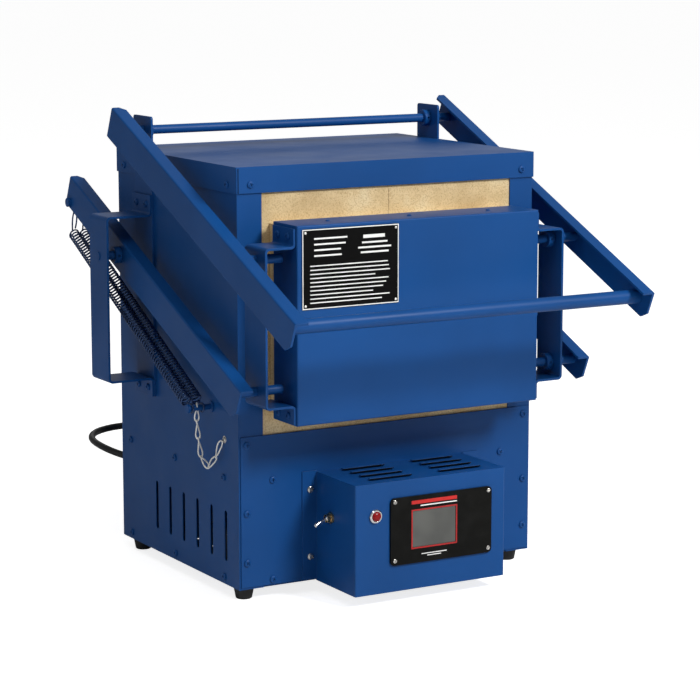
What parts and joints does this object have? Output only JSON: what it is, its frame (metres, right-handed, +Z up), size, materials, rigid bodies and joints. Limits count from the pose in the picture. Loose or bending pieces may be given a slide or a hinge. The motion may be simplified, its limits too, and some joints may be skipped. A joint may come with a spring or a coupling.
{
  "type": "front loading pottery kiln",
  "caption": "Table-top electric pottery kiln with a brick-lined chamber, a controller box and a front door that lifts on counterbalanced parallel arms.",
  "frame": {"origin": "on the floor, under the middle of the whole object's width and depth with the door shut", "axes": "+X to the right of somebody facing the door, +Y from the door to the back, +Z up"},
  "size_m": [0.6164, 0.7545, 0.6509],
  "materials": {
    "blue_enamel": "smooth satin enamel over steel",
    "black_enamel": "smooth enamel",
    "zinc_steel": "zinc plated, slightly dull",
    "screw_steel": "bright stainless",
    "spring_steel": "dark oiled wire",
    "element_wire": "oxidised resistance wire",
    "chrome_trim": "polished",
    "firebrick": "soft porous insulating firebrick",
    "white_ceramic": "unglazed ceramic",
    "black_plastic": "fine texture",
    "screen_plastic": "grey display window",
    "red_trim": "printed trim",
    "red_lens": "clear red lens",
    "board_green": "circuit board",
    "black_rubber": "moulded rubber",
    "cord_rubber": "rubber cord sheath"
  },
  "bodies": {
    "kiln": {"base_pan": "blue_enamel", "side_panel_left": "blue_enamel", "side_panel_right": "blue_enamel", "back_panel": "blue_enamel", "front_lower_panel": "blue_enamel", "shelf": "zinc_steel", "top_cap": "blue_enamel", "feet": "black_rubber", "panel_screws": "screw_steel", "floor_bricks": "firebrick", "wall_bricks": "firebrick", "back_bricks": "firebrick", "roof_bricks": "firebrick", "heating_elements": "element_wire", "temperature_probe": "white_ceramic", "probe_block": "white_ceramic", "uprights": "blue_enamel", "rear_strap_left": "blue_enamel", "rear_strap_right": "blue_enamel", "rear_strap_screws": "screw_steel", "spring_studs": "blue_enamel", "chains": "zinc_steel", "control_box": "blue_enamel", "faceplate": "black_plastic", "screen": "screen_plastic", "screen_frame": "red_trim", "pilot_bezel": "chrome_trim", "pilot_lens": "red_lens", "toggle_body": "zinc_steel", "circuit_board": "board_green", "relay": "black_plastic", "transformer": "zinc_steel", "terminal_block": "white_ceramic", "wiring": "cord_rubber", "cord_gland": "black_rubber", "power_cord": "cord_rubber", "cord_coil": "cord_rubber", "plug": "black_plastic"},
    "lift_arms": {"upper_arm_left": "blue_enamel", "upper_arm_right": "blue_enamel", "hinge_rod": "blue_enamel", "handle_bar": "blue_enamel", "upper_door_pins": "blue_enamel", "upper_collars": "blue_enamel"},
    "lower_arm_left": {"lower_arm_left": "blue_enamel", "lower_arm_pins_left": "blue_enamel", "lower_arm_collars_left": "blue_enamel"},
    "lower_arm_right": {"lower_arm_right": "blue_enamel", "lower_arm_pins_right": "blue_enamel", "lower_arm_collars_right": "blue_enamel"},
    "door": {"door_pan": "blue_enamel", "door_bricks": "firebrick", "door_strap_left": "blue_enamel", "door_strap_right": "blue_enamel", "door_strap_screws": "screw_steel", "notice_plate": "black_enamel", "door_rivets": "screw_steel"},
    "springs_left": {"springs_left": "spring_steel"},
    "springs_right": {"springs_right": "spring_steel"},
    "toggle": {"toggle_lever": "chrome_trim"}
  },
  "joints": [
    {"name": "door_lift", "type": "hinge", "parent": "kiln", "child": "lift_arms", "pos_m": [0, 0.1609, 0.6195], "axis": [-1, 0, 0], "range_deg": [0, 45]},
    {"name": "lower_arm_turn_left", "type": "hinge", "parent": "kiln", "child": "lower_arm_left", "pos_m": [0, 0.1609, 0.4457], "axis": [-1, 0, 0], "range_deg": [0, 45]},
    {"name": "lower_arm_turn_right", "type": "hinge", "parent": "kiln", "child": "lower_arm_right", "pos_m": [0, 0.1609, 0.4457], "axis": [-1, 0, 0], "range_deg": [0, 45]},
    {"name": "door_level", "type": "hinge", "parent": "lift_arms", "child": "door", "pos_m": [0, -0.17031, 0.47342], "axis": [-1, 0, 0], "range_deg": [-45, 0]},
    {"name": "spring_swing_left", "type": "hinge", "parent": "kiln", "child": "springs_left", "pos_m": [0, -0.0396, 0.258], "axis": [-1, 0, 0], "range_deg": [0, 17], "deforming": ["springs_left"]},
    {"name": "spring_swing_right", "type": "hinge", "parent": "kiln", "child": "springs_right", "pos_m": [0, -0.0396, 0.258], "axis": [-1, 0, 0], "range_deg": [0, 17], "deforming": ["springs_right"]},
    {"name": "toggle_flip", "type": "hinge", "parent": "kiln", "child": "toggle", "pos_m": [-0.1213, -0.1626, 0.114], "axis": [0, 1, 0], "range_deg": [0, 44]}
  ],
  "couplings": [
    {"joint": "lower_arm_turn_left", "follows": "door_lift", "ratio": 1},
    {"joint": "lower_arm_turn_right", "follows": "door_lift", "ratio": 1},
    {"joint": "door_level", "follows": "door_lift", "ratio": -1},
    {"joint": "spring_swing_left", "follows": "door_lift", "ratio": 0.3731},
    {"joint": "spring_swing_right", "follows": "door_lift", "ratio": 0.3731}
  ]
}
